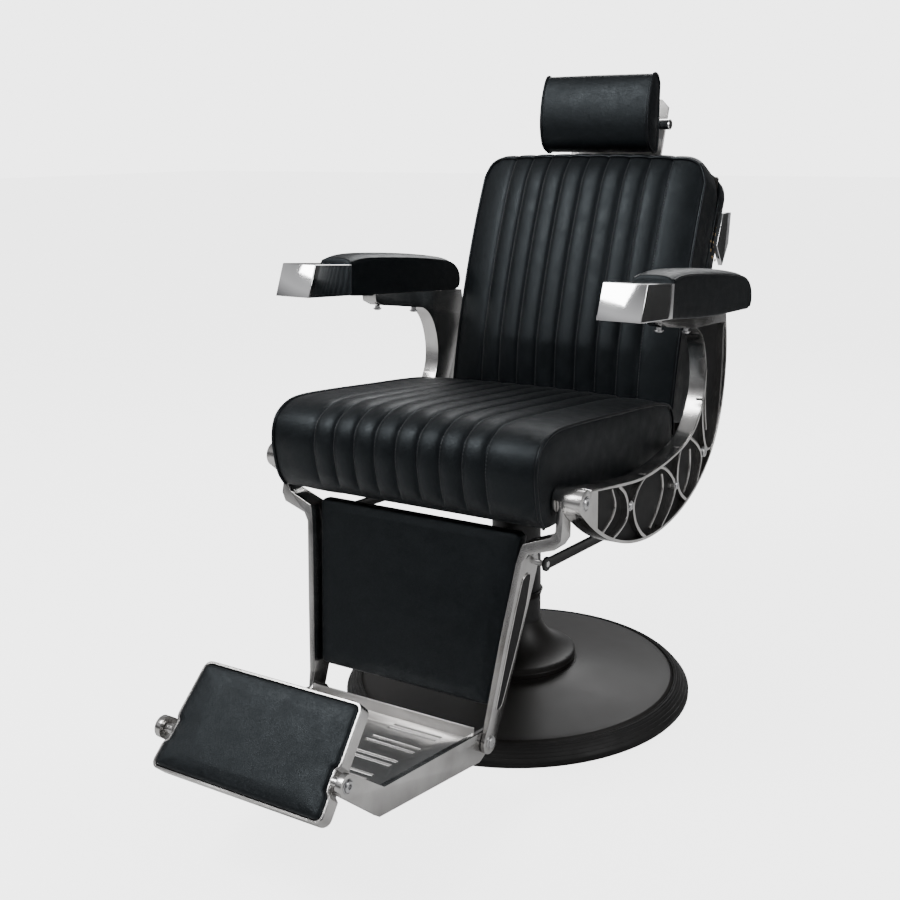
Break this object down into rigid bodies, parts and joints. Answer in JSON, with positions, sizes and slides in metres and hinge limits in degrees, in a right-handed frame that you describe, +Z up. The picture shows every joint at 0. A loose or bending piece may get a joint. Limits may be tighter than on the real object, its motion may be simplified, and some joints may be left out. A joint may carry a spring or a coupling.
{
  "type": "barber chair",
  "caption": "Hydraulic barber chair with channelled seat and back, sickle-shaped cast side frames, padded arms, linked leg rest, flip-over foot pad, adjustable head rest and pump pedal.",
  "frame": {"origin": "centre of the base's underside, on the floor", "axes": "+Z up, -Y the way the sitter faces, +X the sitter's left"},
  "size_m": [0.73, 1.275, 1.187],
  "materials": {
    "black_steel": "matte black powder coat",
    "base_black": "satin black enamel",
    "ribbed_rubber": "ribbed black rubber",
    "bronze": "machined bearing bronze",
    "steel": "brushed steel",
    "chrome": "mirror plating",
    "cast_aluminium": "polished casting",
    "black_panel": "matte black",
    "leather": "satin black leather",
    "plywood": "birch plywood"
  },
  "bodies": {
    "base": {"base_plate": "base_black", "base_edge_ring": "ribbed_rubber", "thrust_washer": "bronze", "swivel_bush": "bronze"},
    "pump": {"pump_cylinder": "black_steel", "pump_gland": "black_steel", "pump_shroud": "base_black", "pedal_bracket": "black_steel", "pedal_pin": "steel"},
    "pedal": {"pedal_lever": "chrome", "pedal_pad": "ribbed_rubber"},
    "seat": {"piston_rod": "chrome", "mounting_plate": "black_steel", "plate_bolts": "steel", "front_cross_tube": "black_steel", "rear_cross_tube": "black_steel", "seat_board": "plywood", "seat_cushion": "leather", "side_frame_left": "cast_aluminium", "side_frame_right": "cast_aluminium", "side_panel_left": "black_panel", "side_panel_right": "black_panel", "frame_screws": "steel", "hub_pins": "steel", "back_pivot_bolts": "steel", "arm_cap_left": "chrome", "arm_cap_right": "chrome", "arm_pad_left": "leather", "arm_pad_right": "leather", "lock_block": "black_steel"},
    "back": {"back_cushion": "leather", "back_board": "plywood", "back_bars": "black_steel", "back_cover": "leather", "back_shaft": "steel", "hinge_plates": "black_steel", "link_cranks": "black_steel", "lock_quadrant": "steel", "headrest_guide": "black_steel"},
    "links": {"link_rods": "black_steel"},
    "recline_lever": {"recline_lever": "chrome"},
    "leg_rest": {"leg_arm_left": "cast_aluminium", "leg_arm_right": "cast_aluminium", "link_pins": "steel", "calf_pad": "leather", "calf_board": "plywood", "leg_crossbar": "black_steel"},
    "footplate": {"foot_rail_left": "cast_aluminium", "foot_rail_right": "cast_aluminium", "fold_bolts": "steel", "foot_tread": "steel"},
    "foot_pad": {"pad_frame": "cast_aluminium", "pad_cushion": "leather", "pad_tread": "steel", "pad_pins": "steel"},
    "headrest_post": {"headrest_post": "chrome", "headrest_bracket": "steel"},
    "headrest": {"headrest_cushion": "leather", "headrest_clamps": "black_steel", "tilt_rod": "chrome"}
  },
  "joints": [
    {"name": "swivel", "type": "hinge", "parent": "base", "child": "pump", "pos_m": [0, 0, 0.05], "axis": [0, 0, 1], "continuous": true},
    {"name": "pedal_press", "type": "hinge", "parent": "pump", "child": "pedal", "pos_m": [-0.07794, 0.045, 0.108], "axis": [-0.5, -0.866, 0], "range_deg": [0, 12], "stiffness_Nm_per_rad": 25, "springref_deg": -20.05},
    {"name": "lift", "type": "slide", "parent": "pump", "child": "seat", "axis": [0, 0, 1], "range_m": [0, 0.16]},
    {"name": "recline", "type": "hinge", "parent": "seat", "child": "back", "pos_m": [0, 0.165, 0.485], "axis": [-1, 0, 0], "range_deg": [0, 45]},
    {"name": "leg_rest_swing", "type": "hinge", "parent": "seat", "child": "leg_rest", "pos_m": [0, -0.328, 0.514], "axis": [-1, 0, 0], "range_deg": [0, 45]},
    {"name": "link_turn", "type": "hinge", "parent": "back", "child": "links", "pos_m": [0, 0.177, 0.369], "axis": [-1, 0, 0], "range_deg": [-45, 0]},
    {"name": "footplate_fold", "type": "hinge", "parent": "leg_rest", "child": "footplate", "pos_m": [0, -0.405, 0.108], "axis": [-1, 0, 0], "range_deg": [0, 50]},
    {"name": "foot_pad_flip", "type": "hinge", "parent": "footplate", "child": "foot_pad", "pos_m": [0, -0.766, 0.207], "axis": [1, 0, 0], "range_deg": [0, 88]},
    {"name": "headrest_height", "type": "slide", "parent": "back", "child": "headrest_post", "axis": [0, 0.342, 0.9397], "range_m": [0, 0.08]},
    {"name": "headrest_tilt", "type": "hinge", "parent": "headrest_post", "child": "headrest", "pos_m": [0, 0.38, 1.089], "axis": [-1, 0, 0], "range_deg": [-20, 25]},
    {"name": "lever_pull", "type": "hinge", "parent": "back", "child": "recline_lever", "pos_m": [0.256, 0.372, 0.856], "axis": [-1, 0, 0], "range_deg": [0, 20], "stiffness_Nm_per_rad": 3, "springref_deg": -14.32}
  ],
  "couplings": [
    {"joint": "leg_rest_swing", "follows": "recline", "ratio": 1},
    {"joint": "link_turn", "follows": "recline", "ratio": -1}
  ]
}
